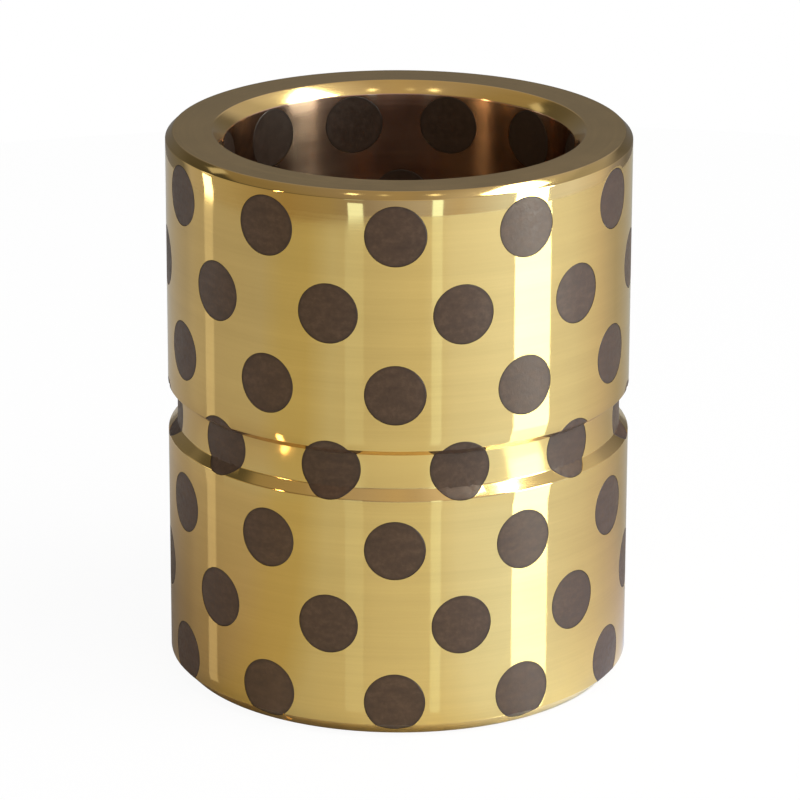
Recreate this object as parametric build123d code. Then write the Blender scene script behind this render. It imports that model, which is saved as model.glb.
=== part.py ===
from build123d import *

import math
import os

# Self-lubricating guide bushing: a turned bronze sleeve, with solid graphite plugs
# pressed through its wall and turned flush with it inside and out.
# The axis is +Z and the origin is the middle of the bottom end face. Sizes are in mm.

# The sleeve
OUTSIDE_DIAMETER = 40.0
BORE_DIAMETER = 30.0
LENGTH = 48.0
TOP_EDGE_CHAMFER = 0.6
LEAD_IN_CHAMFER = 1.2
BORE_MOUTH_CHAMFER = 1.0

# The retaining ring groove round the middle row of plugs. Its lower flank rises at
# 45 degrees, and the upper one, which takes the ring's thrust, is steeper
GROOVE_MIDDLE = 23.5
GROOVE_WIDTH = 4.4
GROOVE_DEPTH = 0.8
LOWER_FLANK_HEIGHT = 0.8
UPPER_FLANK_HEIGHT = 0.6

# The graphite plugs: staggered rows, alternate rows turned by half a step
PLUG_DIAMETER = 5.2
PLUG_ROWS = 7
PLUGS_PER_ROW = 11
ROW_PITCH = 6.85
TOP_ROW_BELOW_TOP = 3.7

# A plug's bar starts inside the bore and ends outside the sleeve by this much, so that
# what is left of it in the wall has its ends turned to the wall's own surfaces
BAR_SPARE = 2.0

# Worked out from the sizes above
OUTSIDE_RADIUS = OUTSIDE_DIAMETER / 2
BORE_RADIUS = BORE_DIAMETER / 2
PLUG_STEP = 360 / PLUGS_PER_ROW
BAR_START = BORE_RADIUS - BAR_SPARE
BAR_LENGTH = OUTSIDE_RADIUS - BORE_RADIUS + 2 * BAR_SPARE


def row_height(row):
    """Height of a row's middle above the bottom end face; row 0 is the top one."""
    return LENGTH - TOP_ROW_BELOW_TOP - row * ROW_PITCH


def wall_section():
    """Half-section of the wall in the XZ plane, from the bore out to the groove."""
    groove_top = GROOVE_MIDDLE + GROOVE_WIDTH / 2
    groove_bottom = GROOVE_MIDDLE - GROOVE_WIDTH / 2
    groove_radius = OUTSIDE_RADIUS - GROOVE_DEPTH
    mouth_radius = BORE_RADIUS + BORE_MOUTH_CHAMFER
    corners = [
        (BORE_RADIUS, BORE_MOUTH_CHAMFER),
        (mouth_radius, 0),
        (OUTSIDE_RADIUS - LEAD_IN_CHAMFER, 0),
        (OUTSIDE_RADIUS, LEAD_IN_CHAMFER),
        (OUTSIDE_RADIUS, groove_bottom),
        (groove_radius, groove_bottom + LOWER_FLANK_HEIGHT),
        (groove_radius, groove_top - UPPER_FLANK_HEIGHT),
        (OUTSIDE_RADIUS, groove_top),
        (OUTSIDE_RADIUS, LENGTH - TOP_EDGE_CHAMFER),
        (OUTSIDE_RADIUS - TOP_EDGE_CHAMFER, LENGTH),
        (mouth_radius, LENGTH),
        (BORE_RADIUS, LENGTH - BORE_MOUTH_CHAMFER),
    ]
    return make_face(Plane.XZ * Polyline(*corners, close=True))


def plug_bar(row, column):
    """Round bar on a plug's axis; column counts half steps round from the front."""
    angle = math.radians(column * PLUG_STEP / 2)
    outwards = Vector(math.sin(angle), -math.cos(angle), 0)
    start = outwards * BAR_START + Vector(0, 0, row_height(row))
    end = Plane(origin=start, z_dir=outwards)
    return extrude(end * Circle(PLUG_DIAMETER / 2), BAR_LENGTH)


def rows_of(column):
    """Even columns hold the plugs of rows 0, 2, 4 and 6, odd ones those of 1, 3 and 5."""
    return range(column % 2, PLUG_ROWS, 2)


def write(shape, node):
    shape.label = node
    export_step(shape, f"parts/{node}.step")


os.makedirs("parts", exist_ok=True)

wall = revolve(wall_section(), Axis.Z, 360)
columns = range(2 * PLUGS_PER_ROW)
bars = {column: [plug_bar(row, column) for row in rows_of(column)] for column in columns}

sleeve = wall - [bar for column in columns for bar in bars[column]]
write(sleeve, "bronze_sleeve")

# The plugs in one column share a node, each a separate solid
for column in columns:
    plugs = [(wall & bar).solid() for bar in bars[column]]
    write(Compound(children=plugs), f"graphite_plugs_{column + 1:02d}")
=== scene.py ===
import math

import bmesh
import bpy
from mathutils import Matrix, Vector


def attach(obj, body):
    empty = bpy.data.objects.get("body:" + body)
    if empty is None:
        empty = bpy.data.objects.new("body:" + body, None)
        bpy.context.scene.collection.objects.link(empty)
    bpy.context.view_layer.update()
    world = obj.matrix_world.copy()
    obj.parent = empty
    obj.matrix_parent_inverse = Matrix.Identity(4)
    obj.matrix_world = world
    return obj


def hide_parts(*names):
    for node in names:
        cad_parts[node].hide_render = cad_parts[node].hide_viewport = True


# Self-lubricating guide bushing: a turned and polished bronze sleeve with graphite
# plugs through its wall. Lengths here are in millimetres and become metres in mm().
# Azimuths are in degrees round the axis: 0 is the front, 90 the right and -90 the left.

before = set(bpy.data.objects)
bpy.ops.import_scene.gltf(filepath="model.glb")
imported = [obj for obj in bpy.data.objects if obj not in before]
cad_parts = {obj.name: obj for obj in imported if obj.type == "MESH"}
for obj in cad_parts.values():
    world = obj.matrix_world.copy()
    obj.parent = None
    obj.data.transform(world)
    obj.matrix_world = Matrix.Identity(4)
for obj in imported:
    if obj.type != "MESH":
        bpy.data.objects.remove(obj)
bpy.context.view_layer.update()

# The sleeve
OUTSIDE_RADIUS = 20.0
BORE_RADIUS = 15.0
WALL = OUTSIDE_RADIUS - BORE_RADIUS
WALL_MIDDLE = (OUTSIDE_RADIUS + BORE_RADIUS) / 2
LENGTH = 48.0
TOP_CHAMFER = 0.6
LEAD_IN_CHAMFER = 1.2
MOUTH_CHAMFER = 1.0
GROOVE_MIDDLE = 23.5
GROOVE_WIDTH = 4.4
GROOVE_DEPTH = 0.8
LOWER_FLANK_HEIGHT = 0.8
UPPER_FLANK_HEIGHT = 0.6
EDGE_BREAK = 0.07

# The plugs
PLUG_RADIUS = 2.6
PLUG_PLAY = 0.005
COLUMNS = 22
ROWS = 7
ROW_PITCH = 6.85
TOP_ROW_DEPTH = 3.7
RIM_WIDTH = 0.04
RIM_RECESS = 0.05
BAR_LENGTH = 8.0
DRILL_LENGTH = 9.0

# How finely the pieces are divided
STEPS_ROUND = 440
RING_SPACING = 1.9
BREAK_STEPS = 3
PLUG_CORNERS = 72
PLUG_RINGS = (PLUG_RADIUS - 0.07, PLUG_RADIUS - 0.2, 1.9, 1.3, 0.65)
SMOOTH_BELOW = 30.0

# What counts as the same place, as one point, as a straight line, and as facing an axis
SMALL = 0.002
MERGED_BELOW = 0.001
STRAIGHT_ABOVE = 175.0
FACING = 0.95

# The metals' own colours
BRONZE = (0.70, 0.465, 0.15)
HONED_BRONZE = (0.62, 0.375, 0.205)

# The studio
TABLE_RADIUS = 175.5
TABLE_TO_RIGHT = 8.0
TABLE_CORNERS = 256
TABLE_WHITENESS = 0.94
TABLE_POLISH = 0.18
PAINTED_FOOT_SHADE_REACH = (35.0, 105.0)
ROOM_RADIUS = 600.0
ROOM_HEIGHT = 1000.0
ROOM_MIDDLE_HEIGHT = 50.0
ROOM_CORNERS = 64
UPPER_WALLS_START = (240.0, 340.0)
LOWERED_AT_LEFT = 55.0
LOWERED_ACROSS = (-520.0, -200.0)
CEILING_START = (500.0, 545.0)
CARD_RADIUS = 560.0
CARD_STEP = 2.0
FEWEST_CARD_STEPS = 4
CEILING_LIGHT_HEIGHT = 545.0
SOFT_BOX_AIM_HEIGHT = 20.0
WORLD_LIGHT = 0.4
WHITE = (1.0, 1.0, 1.0)
PAINT = (0.95, 0.95, 0.95)
DAYLIGHT = (0.94, 0.97, 1.0)
WINDOW = (0.72, 0.86, 1.0)
LAMPLIGHT = (1.0, 0.70, 0.42)

# Curved cards: name, first and last azimuth, lower and upper edge, strength, colour
CARDS = (
    ("window_right", 58.5, 79.5, 20, 190, 21.5, WINDOW),
    ("window_right_low", 58.5, 76.5, -300, 20, 21.5, WINDOW),
    ("window_right_top", 58.5, 79.5, 190, 420, 14.0, WINDOW),
    ("window_left", -108, -101, -300, -60, 5.0, DAYLIGHT),
    ("window_left_high", -108.5, -101.5, 90, 240, 1.9, DAYLIGHT),
    ("window_left_top", -124, -115, 400, 520, 1.0, DAYLIGHT),
    ("lamp_into_bore", -62.6, -59.2, 225, 345, 58.0, LAMPLIGHT),
    ("window_front_left", -23.4, -16.2, -300, -40, 2.4, (0.56, 0.74, 1.0)),
    ("window_front_left_high", -25, -16, 60, 240, 1.3, (0.6, 0.75, 1.0)),
    ("window_front_right", 16.5, 21.5, -300, 240, 2.9, (0.52, 0.72, 1.0)),
)

# Flat panels under the ceiling: name, azimuth, distance out, width, depth, strength, colour
CEILING_LIGHTS = (
    ("window_overhead", 86, 378, 260, 202, 28.0, (0.78, 0.90, 1.0)),
    ("ceiling_lamp_1", 36, 175, 26, 30, 4.5, DAYLIGHT),
    ("ceiling_lamp_2", -15, 156, 20, 24, 2.0, DAYLIGHT),
    ("ceiling_lamp_3", -44, 186, 30, 26, 6.0, DAYLIGHT),
)

# Soft boxes: name, azimuth, elevation, distance, width, height, watts
SOFT_BOXES = (
    ("overhead", 50, 60, 700, 500, 500, 3.6),
    ("right_hand", 80, 35, 600, 250, 400, 0.6),
)

# The camera
LENS = 216.76
SENSOR_WIDTH = 36.0
SHIFT = 0.00198
CLIP_START = 10.0
CLIP_END = 20000.0
CAMERA_DISTANCE = 419.4
CAMERA_ELEVATION = 18.704
CAMERA_AZIMUTH = 0.746
CAMERA_TILT = 0.16
AIM_HEIGHT = 23.47


def mm(*lengths):
    """Millimetres in the frame's metres: one number, or a vector of several."""
    if len(lengths) == 1:
        return lengths[0] * 0.001
    return Vector(lengths) * 0.001


# Modelling by hand: what is selected, and how a piece is opened and closed


def select(*pieces):
    """Selects these pieces and nothing else, in object mode. The first is the active one."""
    if bpy.context.mode != "OBJECT":
        bpy.ops.object.mode_set(mode="OBJECT")
    bpy.ops.object.select_all(action="DESELECT")
    for piece in pieces:
        piece.select_set(True)
    if pieces:
        bpy.context.view_layer.objects.active = pieces[0]


def work_on(piece):
    """Opens one piece alone in edit mode."""
    select(piece)
    bpy.ops.object.mode_set(mode="EDIT")


def give_name(piece, name):
    piece.name = name
    piece.data.name = name


def done(piece, name=None):
    """Back to object mode, with the piece's place put into its mesh."""
    select(piece)
    bpy.ops.object.transform_apply(location=True, rotation=True, scale=True)
    if name:
        give_name(piece, name)
    return piece


def pick(kind, wanted):
    """Selects the corners, edges or faces of the open piece for which wanted(element) holds."""
    bpy.ops.mesh.select_mode(type={"verts": "VERT", "edges": "EDGE", "faces": "FACE"}[kind])
    bpy.ops.mesh.select_all(action="DESELECT")
    mesh = bpy.context.edit_object.data
    shape = bmesh.from_edit_mesh(mesh)
    chosen = 0
    for element in getattr(shape, kind):
        if wanted(element):
            element.select_set(True)
            chosen += 1
    bmesh.update_edit_mesh(mesh)
    return chosen


def pick_all():
    bpy.ops.mesh.select_all(action="SELECT")


def near(metres, length):
    return abs(metres - mm(length)) < mm(SMALL)


def score(height):
    """Cuts edges right across the open piece at a height."""
    pick_all()
    bpy.ops.mesh.bisect(plane_co=mm(0, 0, height), plane_no=(0, 0, 1))


def apply_modifiers(piece):
    select(piece)
    for modifier in list(piece.modifiers):
        bpy.ops.object.modifier_apply(modifier=modifier.name)


def copy_of(piece, name):
    """A copy with its own mesh."""
    select(piece)
    bpy.ops.object.duplicate(linked=False)
    copy = bpy.context.view_layer.objects.active
    give_name(copy, name)
    return copy


def join(pieces, name):
    select(*pieces)
    bpy.ops.object.join()
    return done(pieces[0], name)


def discard(*pieces):
    select(*pieces)
    bpy.ops.object.delete()


def smooth(piece):
    select(piece)
    bpy.ops.object.shade_smooth_by_angle(angle=math.radians(SMOOTH_BELOW))


# The turned sleeve


def groove_lines():
    """Heights of the groove's four edges, from the bottom up."""
    low = GROOVE_MIDDLE - GROOVE_WIDTH / 2
    high = GROOVE_MIDDLE + GROOVE_WIDTH / 2
    return [low, low + LOWER_FLANK_HEIGHT, high - UPPER_FLANK_HEIGHT, high]


def is_corner(v):
    """Whether the outline turns at this point."""
    if len(v.link_edges) != 2:
        return False
    a, b = (e.other_vert(v).co - v.co for e in v.link_edges)
    return a.angle(b) < math.radians(STRAIGHT_ABOVE)


def half_section(name):
    """The outline of the wall at the right, with its groove and chamfers, open in edit mode."""
    bpy.ops.mesh.primitive_plane_add(
        size=mm(1.0), location=mm(WALL_MIDDLE, 0, LENGTH / 2), rotation=(math.pi / 2, 0, 0)
    )
    piece = bpy.context.object
    bpy.ops.transform.resize(value=(WALL, 1.0, LENGTH))
    done(piece, name)
    work_on(piece)
    for height in groove_lines():
        score(height)
    floor_low, floor_high = groove_lines()[1:3]
    pick("verts", lambda v: near(v.co.x, OUTSIDE_RADIUS)
         and mm(floor_low - SMALL) < v.co.z < mm(floor_high + SMALL))
    bpy.ops.transform.translate(value=mm(-GROOVE_DEPTH, 0, 0))
    pick_all()
    bpy.ops.mesh.dissolve_faces()
    for radius, height, chamfer in (
        (OUTSIDE_RADIUS, LENGTH, TOP_CHAMFER),
        (OUTSIDE_RADIUS, 0, LEAD_IN_CHAMFER),
        (BORE_RADIUS, LENGTH, MOUTH_CHAMFER),
        (BORE_RADIUS, 0, MOUTH_CHAMFER),
    ):
        pick("verts", lambda v: near(v.co.x, radius) and near(v.co.z, height))
        bpy.ops.mesh.bevel(offset=mm(chamfer), offset_type="OFFSET", affect="VERTICES")
    pick_all()
    bpy.ops.mesh.delete(type="ONLY_FACE")
    pick("verts", lambda v: near(v.co.x, BORE_RADIUS) and not is_corner(v))
    bpy.ops.mesh.dissolve_verts()
    return piece


def turned_wall(name):
    """The sleeve before it is drilled: its half-section, each edge broken, spun about the axis."""
    piece = half_section(name)
    pick("verts", is_corner)
    bpy.ops.mesh.bevel(
        offset=mm(EDGE_BREAK), offset_type="OFFSET", affect="VERTICES", segments=BREAK_STEPS
    )

    def is_tall(e):
        rise = abs(e.verts[0].co.z - e.verts[1].co.z)
        return e.calc_length() > mm(RING_SPACING) and rise > mm(SMALL)

    while pick("edges", is_tall):
        bpy.ops.mesh.subdivide(number_cuts=1)
    bpy.ops.mesh.select_mode(type="VERT")
    pick_all()
    bpy.ops.mesh.spin(
        steps=STEPS_ROUND, angle=2 * math.pi, center=(0, 0, 0), axis=(0, 0, 1)
    )
    pick_all()
    bpy.ops.mesh.remove_doubles(threshold=mm(MERGED_BELOW))
    bpy.ops.mesh.normals_make_consistent(inside=False)
    done(piece)
    smooth(piece)
    return piece


def drilled(wall, drill, name):
    """A copy of the wall with the plugs' holes taken out of it."""
    sleeve = copy_of(wall, name)
    cut = sleeve.modifiers.new("drilled", "BOOLEAN")
    cut.object = drill
    cut.operation = "DIFFERENCE"
    cut.solver = "EXACT"
    apply_modifiers(sleeve)
    smooth(sleeve)
    even = sleeve.modifiers.new("even shading", "WEIGHTED_NORMAL")
    even.keep_sharp = True
    apply_modifiers(sleeve)
    return sleeve


# The plugs and the holes for them


def row_height(row):
    return LENGTH - TOP_ROW_DEPTH - row * ROW_PITCH


def rows_of(column):
    """The plugs are staggered, so a column has a plug in every other row."""
    return range(column % 2, ROWS, 2)


def section_lines(row):
    """Heights at which the wall's section turns within a row's plugs."""
    lines = [*groove_lines(), LEAD_IN_CHAMFER, MOUTH_CHAMFER]
    return [line for line in lines if abs(line - row_height(row)) < PLUG_RADIUS]


def round_bar(name, row, radius, length):
    """A bar through the wall at the front, at a row's height."""
    bpy.ops.mesh.primitive_cylinder_add(
        vertices=PLUG_CORNERS,
        radius=mm(radius),
        depth=mm(length),
        end_fill_type="NGON",
        location=mm(0, -WALL_MIDDLE, row_height(row)),
        rotation=(math.pi / 2, 0, 0),
    )
    return done(bpy.context.object, name)


def divide_ends(bar, row, radius):
    """Rings on both ends of a bar, and edges where the wall's section turns."""
    work_on(bar)
    for side in (-1, 1):
        pick("faces", lambda f: f.normal.y * side > FACING)
        reached = radius
        for ring in PLUG_RINGS:
            bpy.ops.mesh.inset(thickness=mm(reached - ring))
            reached = ring
        bpy.ops.mesh.poke()
    for line in section_lines(row):
        score(line)
    done(bar)


def turn_flush(bar, wall):
    """Brings both ends of a bar onto the wall's own surfaces."""
    wrap = bar.modifiers.new("turned flush", "SHRINKWRAP")
    wrap.target = wall
    wrap.wrap_method = "PROJECT"
    wrap.use_project_x = False
    wrap.use_project_y = True
    wrap.use_project_z = False
    wrap.use_negative_direction = True
    wrap.use_positive_direction = True
    apply_modifiers(bar)


def graphite_plug(row, wall):
    """One plug at the front of a row, with its rim worn a little below the wall."""
    radius = PLUG_RADIUS - PLUG_PLAY
    plug = round_bar(f"plug_row_{row}", row, radius, BAR_LENGTH)
    divide_ends(plug, row, radius)
    turn_flush(plug, wall)
    height = mm(row_height(row))

    def from_middle(v):
        return math.hypot(v.co.x, v.co.z - height)

    def at_rim(v, side):
        at_this_end = (v.co.y + mm(WALL_MIDDLE)) * side > 0
        return at_this_end and from_middle(v) > mm(PLUG_RADIUS - RIM_WIDTH)

    work_on(plug)
    for side in (-1, 1):
        pick("verts", lambda v: at_rim(v, side))
        bpy.ops.transform.translate(value=mm(0, -side * RIM_RECESS, 0))
    done(plug)
    reach = plug.data.attributes.new("from_middle", "FLOAT", "POINT")
    for v in plug.data.vertices:
        reach.data[v.index].value = from_middle(v) / mm(PLUG_RADIUS)
    return plug


def turn_to_column(piece, column):
    """Turns a piece made at the front round the axis to its column."""
    select(piece)
    bpy.ops.transform.rotate(
        value=-column * 2 * math.pi / COLUMNS, orient_axis="Z", center_override=(0, 0, 0)
    )
    return done(piece)


def plugs_and_drill(wall):
    """The plugs, joined column by column, and one drill that cuts all their holes."""
    one_plug = [graphite_plug(row, wall) for row in range(ROWS)]
    one_cutter = [
        round_bar(f"cutter_row_{row}", row, PLUG_RADIUS, DRILL_LENGTH) for row in range(ROWS)
    ]
    columns = []
    cutters = []
    for column in range(COLUMNS):
        plugs = []
        for row in rows_of(column):
            plugs.append(turn_to_column(copy_of(one_plug[row], "plug"), column))
            cutters.append(turn_to_column(copy_of(one_cutter[row], "cutter"), column))
        columns.append(join(plugs, f"graphite_column_{column + 1:02d}"))
    discard(*one_plug, *one_cutter)
    return columns, join(cutters, "drill")


select()
wall = turned_wall("bronze_wall")
plug_columns, drill = plugs_and_drill(wall)
sleeve = drilled(wall, drill, "polished_bronze_sleeve")
discard(wall, drill)
for column in plug_columns:
    smooth(column)


# Finishes


class Tree:
    """A node tree, built node by node."""

    def __init__(self, tree, output):
        self.nodes = tree.nodes
        self.links = tree.links
        self.output = output
        self.nodes.clear()

    def feed(self, socket, value):
        """Gives a socket a number, a colour, a vector, or what another node puts out."""
        if hasattr(value, "is_output"):
            self.links.new(value, socket)
        elif socket.type == "RGBA":
            socket.default_value = (*value, 1.0)
        else:
            socket.default_value = value

    def node(self, kind, inputs=None, **settings):
        """A node with its settings, and with what each of its inputs is fed."""
        made = self.nodes.new(kind)
        for key, value in settings.items():
            setattr(made, key, value)
        for key, value in (inputs or {}).items():
            self.feed(made.inputs[key], value)
        return made

    def surface(self, shader):
        """Ends the tree in a shader."""
        self.node(self.output, {"Surface": shader.outputs[0]})

    def mixed(self, factor, a, b):
        """Two shaders mixed."""
        return self.node("ShaderNodeMixShader", {0: factor, 1: a.outputs[0], 2: b.outputs[0]})

    def math(self, operation, *values):
        return self.node("ShaderNodeMath", dict(enumerate(values)), operation=operation).outputs[0]

    def weighed(self, *shares):
        """The sum of values, each times its weight."""
        total, *others = (self.math("MULTIPLY", value, weight) for value, weight in shares)
        for other in others:
            total = self.math("ADD", total, other)
        return total

    def place(self):
        """Where a point of the piece lies."""
        return self.node("ShaderNodeTexCoord").outputs["Object"]

    def parts(self, place):
        """X, Y and Z of a place."""
        return self.node("ShaderNodeSeparateXYZ", {0: place}).outputs

    def from_axis(self, place):
        """The distance from the sleeve's axis."""
        xyz = self.parts(place)
        squares = (self.math("MULTIPLY", xyz[axis], xyz[axis]) for axis in "XY")
        return self.math("SQRT", self.math("ADD", *squares))

    def noise(self, place, scale, detail, roughness):
        inputs = {"Vector": place, "Scale": scale, "Detail": detail, "Roughness": roughness}
        return self.node("ShaderNodeTexNoise", inputs).outputs["Fac"]

    def spread(self, value, span, to, kind="LINEAR"):
        """A value brought from one span to another, and held at its ends."""
        inputs = dict(enumerate((value, *span, *to)))
        return self.node("ShaderNodeMapRange", inputs, interpolation_type=kind).outputs[0]

    def tones(self, factor, *stops):
        """Colours along a factor: (position, colour) from the lowest up."""
        made = self.node("ShaderNodeValToRGB", {"Fac": factor})
        ramp = made.color_ramp
        while len(ramp.elements) < len(stops):
            ramp.elements.new(0.5)
        for element, (position, colour) in zip(ramp.elements, stops):
            element.position = position
            element.color = (*colour, 1.0)
        return made.outputs["Color"]

    def tones_round(self, place, *stops):
        """Colours round the object: (azimuth, colour) from -180 up."""
        xyz = self.parts(place)
        turn = self.math("ARCTAN2", xyz["X"], self.math("MULTIPLY", xyz["Y"], -1.0))
        factor = self.spread(turn, (-math.pi, math.pi), (0.0, 1.0))
        return self.tones(factor, *((0.5 + azimuth / 360, colour) for azimuth, colour in stops))

    def blend(self, kind, factor, a, b):
        inputs = {0: factor, 6: a, 7: b}
        return self.node("ShaderNodeMix", inputs, data_type="RGBA", blend_type=kind).outputs[2]

    def raised(self, height, depth, normal=None):
        """Relief of a depth in millimetres, on top of any that is there."""
        inputs = {"Height": height, "Distance": mm(depth)}
        if normal:
            inputs["Normal"] = normal
        return self.node("ShaderNodeBump", inputs).outputs[0]


class Finish(Tree):
    """A material."""

    def __init__(self, name):
        self.material = bpy.data.materials.new(name)
        self.material.use_nodes = True
        super().__init__(self.material.node_tree, "ShaderNodeOutputMaterial")


def dress(piece, *materials):
    piece.data.materials.clear()
    for material in materials:
        piece.data.materials.append(material)


def linear(*display):
    """A colour given in 8-bit display values, as the linear values that a shader takes."""
    def one(v):
        v /= 255
        return v / 12.92 if v <= 0.04045 else ((v + 0.055) / 1.055) ** 2.4
    return tuple(one(v) for v in display)


def shades(low, high, metal=BRONZE):
    """A metal's colour at two levels."""
    return [tuple(part * level for part in metal) for level in (low, high)]


def turned_metal(name, tones, gloss, relief, lines_along="height", brushed=0.0):
    """Turned bronze. The tool's lines run round the axis: along the height they are told apart
    by z, and on an end face by the distance from the axis."""
    f = Finish(name)
    place = f.place()
    xyz = f.parts(place)
    drawn_out = 0.02
    lines_at = f.node("ShaderNodeCombineXYZ", {
        "X": f.math("MULTIPLY", xyz["X"], drawn_out),
        "Y": f.math("MULTIPLY", xyz["Y"], drawn_out),
        "Z": xyz["Z"] if lines_along == "height" else f.from_axis(place),
    }).outputs[0]
    lines = f.noise(lines_at, scale=5200.0, detail=3.0, roughness=0.62)
    broad_lines = f.noise(lines_at, scale=900.0, detail=2.0, roughness=0.5)
    clouds = f.noise(place, scale=85.0, detail=3.0, roughness=0.55)
    smudges = f.noise(place, scale=260.0, detail=4.0, roughness=0.6)
    patches = f.weighed((lines, 0.3), (broad_lines, 0.35), (clouds, 0.35))
    haze = f.weighed((smudges, 0.6), (lines, 0.4))
    low, high = tones
    shader = f.node("ShaderNodeBsdfPrincipled", {
        "Base Color": f.tones(patches, (0.36, low), (0.62, high)),
        "Metallic": 1.0,
        "Roughness": f.spread(haze, (0.35, 0.65), gloss),
        "Normal": f.raised(lines, relief),
    })
    if brushed:
        round_axis = f.node("ShaderNodeTangent", direction_type="RADIAL", axis="Z")
        f.feed(shader.inputs["Anisotropic"], brushed)
        f.feed(shader.inputs["Anisotropic Rotation"], 0.25)
        f.feed(shader.inputs["Tangent"], round_axis.outputs[0])
    f.surface(shader)
    return f.material


def graphite():
    """Pressed graphite with a fine grain, darker at the plug's rim, and with painted shade in the
    bore.
    """
    f = Finish("graphite")
    place = f.place()
    from_middle = f.node("ShaderNodeAttribute", attribute_name="from_middle").outputs["Fac"]
    flattened = f.node("ShaderNodeMapping", {"Vector": place, "Scale": (1.0, 1.0, 2.5)}).outputs[0]
    grain = f.noise(place, scale=2600.0, detail=4.0, roughness=0.65)
    flecks = f.noise(place, scale=7000.0, detail=2.0, roughness=0.5)
    wiped = f.noise(flattened, scale=620.0, detail=3.0, roughness=0.6)
    colour = f.tones(
        f.weighed((grain, 0.5), (wiped, 0.5)),
        (0.36, linear(61, 42, 29)), (0.5, linear(71, 50, 35)), (0.66, linear(86, 63, 46)),
    )
    at_rim = f.spread(from_middle, (0.86, 0.99), (0.0, 0.65), "SMOOTHSTEP")
    colour = f.blend("MIX", at_rim, colour, linear(44, 32, 25))
    # painted shade: the plugs' faces in the bore are darkened, standing in for the little light
    # that reaches there
    past_bore = mm(BORE_RADIUS + 0.6, BORE_RADIUS + 1.2)
    painted_bore_shade = f.spread(f.from_axis(place), past_bore, (0.68, 0.0))
    colour = f.blend("MIX", painted_bore_shade, colour, linear(26, 18, 13))
    f.surface(f.node("ShaderNodeBsdfPrincipled", {
        "Base Color": colour,
        "Roughness": f.spread(grain, (0.35, 0.65), (0.36, 0.50)),
        "Specular Tint": (1.0, 0.80, 0.58),
        "Normal": f.raised(flecks, 0.004, f.raised(grain, 0.012)),
    }))
    return f.material


POLISHED, TURNED, HONED, GROOVED, SHADED_CHAMFER = range(5)


def finish_of(face):
    """Polished outside, honed in the bore, and turned elsewhere, in three ways. The top chamfer's
    turned bronze is a darker copy, with painted shade.
    """
    middle = face.calc_center_median()
    away = math.hypot(middle.x, middle.y)
    groove_low, groove_high = groove_lines()[0], groove_lines()[3]
    within_wall = away < mm(OUTSIDE_RADIUS - GROOVE_DEPTH - 0.2)
    end_face = abs(face.normal.z) > FACING
    below_outside = away < mm(OUTSIDE_RADIUS - 0.05)
    if away < mm(BORE_RADIUS + 0.02):
        return HONED
    if within_wall or end_face:
        return TURNED
    if middle.z > mm(LENGTH - TOP_CHAMFER):
        return SHADED_CHAMFER
    if below_outside and mm(groove_low) < middle.z < mm(groove_high):
        return GROOVED
    return POLISHED


def share_out_finishes(piece):
    work_on(piece)
    shape = bmesh.from_edit_mesh(piece.data)
    for face in shape.faces:
        face.material_index = finish_of(face)
    bmesh.update_edit_mesh(piece.data)
    done(piece)


dress(
    sleeve,
    turned_metal("polished bronze", shades(0.93, 1.04), gloss=(0.03, 0.07), relief=0.0001),
    turned_metal("turned bronze", shades(0.82, 0.90), gloss=(0.10, 0.16), relief=0.0006,
                 lines_along="radius"),
    turned_metal("honed bronze", shades(0.80, 0.98, HONED_BRONZE), gloss=(0.165, 0.215),
                 relief=0.0005, brushed=0.95),
    turned_metal("turned groove", shades(0.96, 1.06), gloss=(0.10, 0.15), relief=0.0004),
    # the top chamfer: a rougher turned finish, and a darker copy of the bronze as painted shade
    turned_metal("shaded turned chamfer", shades(0.66, 0.74), gloss=(0.07, 0.12), relief=0.0004),
)
share_out_finishes(sleeve)
graphite_finish = graphite()

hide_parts("bronze_sleeve")
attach(sleeve, "root")
for number, column in enumerate(plug_columns, 1):
    dress(column, graphite_finish)
    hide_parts(f"graphite_plugs_{number:02d}")
    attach(column, "root")


# The studio


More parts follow.
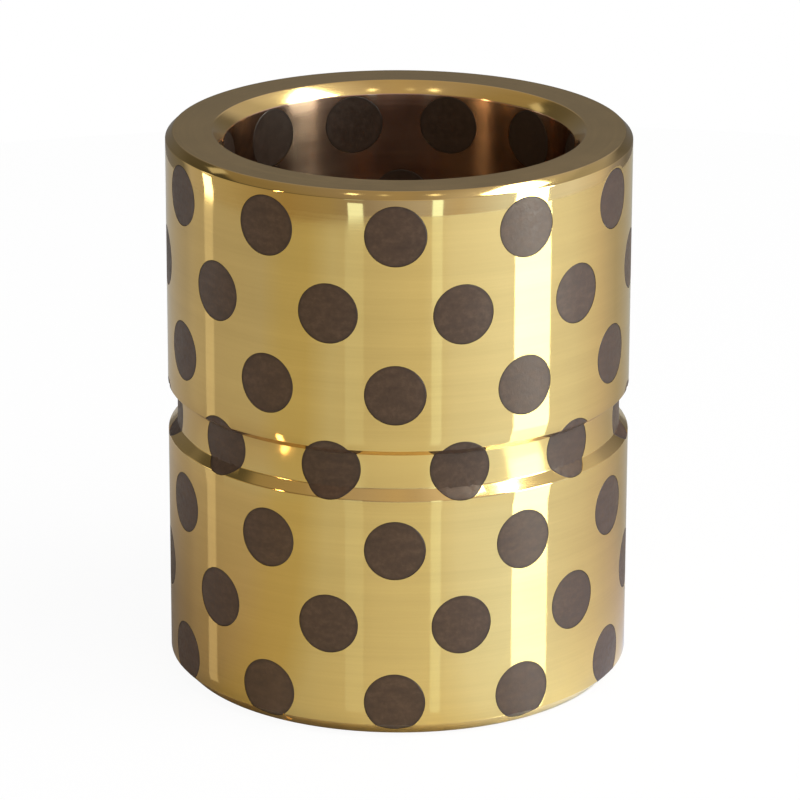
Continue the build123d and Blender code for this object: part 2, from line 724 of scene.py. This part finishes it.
def white_table():
    """White to the camera, with a trace of the object's shadow. The metal mirrors a polished
    top whose tint is painted light and shadow, changing round the object."""
    f = Finish("white table")
    place = f.place()
    # painted light, seen only in the metal: warm and dim at the left of the object, and whiter,
    # cooler and brighter towards the window at the right
    tint = f.tones_round(
        place,
        (-150, (0.58, 0.58, 0.56)), (-104, (0.63, 0.65, 0.69)), (-66, (0.66, 0.71, 0.80)),
        (-54, (0.68, 0.70, 0.58)), (-42, (0.68, 0.69, 0.54)), (-30, (0.76, 0.84, 0.90)),
        (-14, (0.78, 0.84, 0.84)), (12, (0.82, 0.88, 0.86)), (26, (0.93, 1.09, 1.36)),
        (50, (0.99, 1.17, 1.50)), (90, (0.86, 0.98, 1.20)), (112, (0.72, 0.73, 0.78)),
        (128, (0.56, 0.56, 0.50)),
    )
    # painted shadow close to the foot, darker and warmer at the left, and painted light in front
    painted_foot_shade_and_light = f.tones_round(
        place,
        (-110, (0.84, 0.74, 0.64)), (-66, (0.84, 0.72, 0.60)), (-36, (0.94, 0.92, 0.86)),
        (-8, (1.08, 1.10, 1.14)), (46, (1.04, 1.12, 1.26)), (88, (0.90, 0.86, 0.88)),
    )
    foot_shade_mask = f.spread(f.from_axis(place), mm(*PAINTED_FOOT_SHADE_REACH), (1.0, 0.0))
    tint = f.blend("MULTIPLY", foot_shade_mask, tint, painted_foot_shade_and_light)
    rays = f.node("ShaderNodeLightPath").outputs
    colour = f.blend("MIX", rays["Is Glossy Ray"], PAINT, tint)
    paint = f.node("ShaderNodeBsdfDiffuse", {"Color": colour})
    white = f.node("ShaderNodeEmission", {"Color": WHITE, "Strength": 1.0})
    gloss = f.node("ShaderNodeBsdfGlossy", {"Color": WHITE, "Roughness": 0.02})
    plain = f.mixed(f.math("MULTIPLY", rays["Is Camera Ray"], TABLE_WHITENESS), paint, white)
    f.surface(f.mixed(f.math("MULTIPLY", rays["Is Glossy Ray"], TABLE_POLISH), plain, gloss))
    return f.material


def table_top():
    bpy.ops.mesh.primitive_circle_add(
        vertices=TABLE_CORNERS,
        radius=mm(TABLE_RADIUS),
        fill_type="NGON",
        location=mm(TABLE_TO_RIGHT, 0, 0),
    )
    table = done(bpy.context.object, "table_top")
    dress(table, white_table())


def glowing(name, colour, strength):
    f = Finish(name)
    f.surface(f.node("ShaderNodeEmission", {"Color": colour, "Strength": strength}))
    return f.material


def glowing_studio_walls():
    """Glowing walls, seen only in the metal, whose tones are painted light: lighter at the right,
    under a ceiling that is lighter there too.
    """
    f = Finish("studio walls")
    place = f.place()
    xyz = f.parts(place)
    walls = f.tones_round(
        place,
        (-179, (0.205, 0.20, 0.195)), (-128, (0.20, 0.20, 0.20)), (-120, (0.56, 0.56, 0.58)),
        (-88, (0.54, 0.52, 0.46)), (-54, (0.44, 0.37, 0.25)), (-32, (0.46, 0.43, 0.37)),
        (-14, (0.40, 0.40, 0.55)), (12, (0.60, 0.64, 0.92)), (30, (0.72, 0.72, 0.84)),
        (52, (0.98, 1.20, 1.85)), (92, (1.02, 1.18, 1.75)), (114, (0.82, 0.84, 1.0)),
        (127, (0.42, 0.43, 0.55)), (145, (0.205, 0.20, 0.195)),
    )
    # from the left wall to the right one
    across = f.spread(xyz["X"], mm(-ROOM_RADIUS, ROOM_RADIUS), (0.0, 1.0))
    upper_walls = f.tones(
        across,
        (0.0, (0.11, 0.11, 0.10)), (0.3, (0.20, 0.19, 0.18)), (0.5, (0.70, 0.66, 0.66)),
        (1.0, (0.70, 0.74, 0.90)),
    )
    ceiling = f.tones(
        across,
        (0.0, (0.42, 0.38, 0.31)), (0.18, (0.47, 0.42, 0.34)), (0.38, (0.56, 0.53, 0.60)),
        (0.5, (0.68, 0.62, 0.60)), (0.56, (0.62, 0.58, 0.62)), (0.7, (1.0, 1.02, 1.3)),
        (1.0, (0.80, 0.84, 1.0)),
    )
    # the walls' upper part starts lower at the left
    lowered = f.spread(xyz["X"], mm(*LOWERED_ACROSS), mm(LOWERED_AT_LEFT, 0))
    height = f.math("ADD", xyz["Z"], lowered)
    high_up = f.spread(height, mm(*UPPER_WALLS_START), (0.0, 1.0))
    overhead = f.spread(xyz["Z"], mm(*CEILING_START), (0.0, 1.0))
    tone = f.blend("MIX", high_up, walls, upper_walls)
    tone = f.blend("MIX", overhead, tone, ceiling)
    f.surface(f.node("ShaderNodeEmission", {"Color": tone, "Strength": 1.0}))
    return f.material


def only_mirrored(piece, material):
    """Sets a piece up for the polished metal to mirror. It neither lights nor shades anything."""
    dress(piece, material)
    piece.visible_camera = False
    piece.visible_diffuse = False
    piece.visible_shadow = False
    piece.visible_transmission = False
    piece.visible_volume_scatter = False


def room():
    bpy.ops.mesh.primitive_cylinder_add(
        vertices=ROOM_CORNERS,
        radius=mm(ROOM_RADIUS),
        depth=mm(ROOM_HEIGHT),
        location=mm(0, 0, ROOM_MIDDLE_HEIGHT),
    )
    only_mirrored(done(bpy.context.object, "studio_walls"), glowing_studio_walls())


def card(name, start, end, low, high, strength, colour):
    """A bright card, curved round the object."""
    bpy.ops.mesh.primitive_plane_add(size=mm(1.0), location=(0, 0, 0))
    piece = bpy.context.object
    work_on(piece)
    bpy.ops.mesh.delete(type="ONLY_FACE")
    pick("verts", lambda v: v.co.x > 0)
    bpy.ops.mesh.delete(type="VERT")
    shape = bmesh.from_edit_mesh(piece.data)
    first = math.radians(start)
    for v, height in zip(shape.verts, (low, high)):
        v.co = mm(math.sin(first) * CARD_RADIUS, -math.cos(first) * CARD_RADIUS, height)
    bmesh.update_edit_mesh(piece.data)
    pick_all()
    bpy.ops.mesh.spin(
        steps=max(FEWEST_CARD_STEPS, int((end - start) / CARD_STEP)),
        angle=-math.radians(end - start),
        center=(0, 0, 0),
        axis=(0, 0, 1),
    )
    only_mirrored(done(piece, name), glowing(name, colour, strength))


def ceiling_light(name, azimuth, distance, width, depth, strength, colour):
    """A flat bright panel under the ceiling."""
    bpy.ops.mesh.primitive_plane_add(
        size=mm(1.0), location=mm(0, -distance, CEILING_LIGHT_HEIGHT)
    )
    bpy.ops.transform.resize(value=(width, depth, 1.0))
    bpy.ops.transform.rotate(
        value=-math.radians(azimuth), orient_axis="Z", center_override=(0, 0, 0)
    )
    only_mirrored(done(bpy.context.object, name), glowing(name, colour, strength))


def outwards(azimuth, elevation):
    """The direction from the object's axis out to an azimuth and an elevation."""
    a, e = math.radians(azimuth), math.radians(elevation)
    return Vector((math.sin(a) * math.cos(e), -math.cos(a) * math.cos(e), math.sin(e)))


def soft_box(name, azimuth, elevation, distance, width, height, watts):
    """A lamp that lights the object but isn't mirrored by it."""
    data = bpy.data.lights.new(name, "AREA")
    data.shape = "RECTANGLE"
    data.size = mm(width)
    data.size_y = mm(height)
    data.energy = watts
    lamp = bpy.data.objects.new(name, data)
    bpy.context.scene.collection.objects.link(lamp)
    away = outwards(azimuth, elevation)
    lamp.location = away * mm(distance) + mm(0, 0, SOFT_BOX_AIM_HEIGHT)
    lamp.rotation_euler = away.to_track_quat("Z", "Y").to_euler()
    lamp.visible_camera = False
    lamp.visible_glossy = False


def white_world():
    """White where it is seen, mirrored or looked through to, and a softer light on the object."""
    world = bpy.data.worlds.new("studio")
    bpy.context.scene.world = world
    world.use_nodes = True
    w = Tree(world.node_tree, "ShaderNodeOutputWorld")
    rays = w.node("ShaderNodeLightPath").outputs
    seen = w.math("MAXIMUM", rays["Is Camera Ray"], rays["Is Glossy Ray"])
    seen = w.math("MAXIMUM", seen, rays["Is Transmission Ray"])
    soft = w.node("ShaderNodeBackground", {"Color": WHITE, "Strength": WORLD_LIGHT})
    white = w.node("ShaderNodeBackground", {"Color": WHITE, "Strength": 1.0})
    w.surface(w.mixed(seen, soft, white))


def camera():
    data = bpy.data.cameras.new("camera")
    data.lens = LENS
    data.sensor_width = SENSOR_WIDTH
    data.shift_x = SHIFT
    data.clip_start = mm(CLIP_START)
    data.clip_end = mm(CLIP_END)
    viewer = bpy.data.objects.new("camera", data)
    bpy.context.scene.collection.objects.link(viewer)
    a, e = math.radians(CAMERA_AZIMUTH), math.radians(CAMERA_ELEVATION)
    away = outwards(CAMERA_AZIMUTH, CAMERA_ELEVATION)
    stand = away * mm(CAMERA_DISTANCE) + mm(0, 0, AIM_HEIGHT)
    turn = Matrix.Rotation(a, 4, "Z") @ Matrix.Rotation(math.pi / 2 - e, 4, "X")
    turn = turn @ Matrix.Rotation(math.radians(CAMERA_TILT), 4, "Z")
    viewer.matrix_world = Matrix.Translation(stand) @ turn
    bpy.context.scene.camera = viewer


table_top()
room()
for each in CARDS:
    card(*each)
for each in CEILING_LIGHTS:
    ceiling_light(*each)
for each in SOFT_BOXES:
    soft_box(*each)
white_world()
camera()
bpy.context.scene.view_settings.view_transform = "Standard"
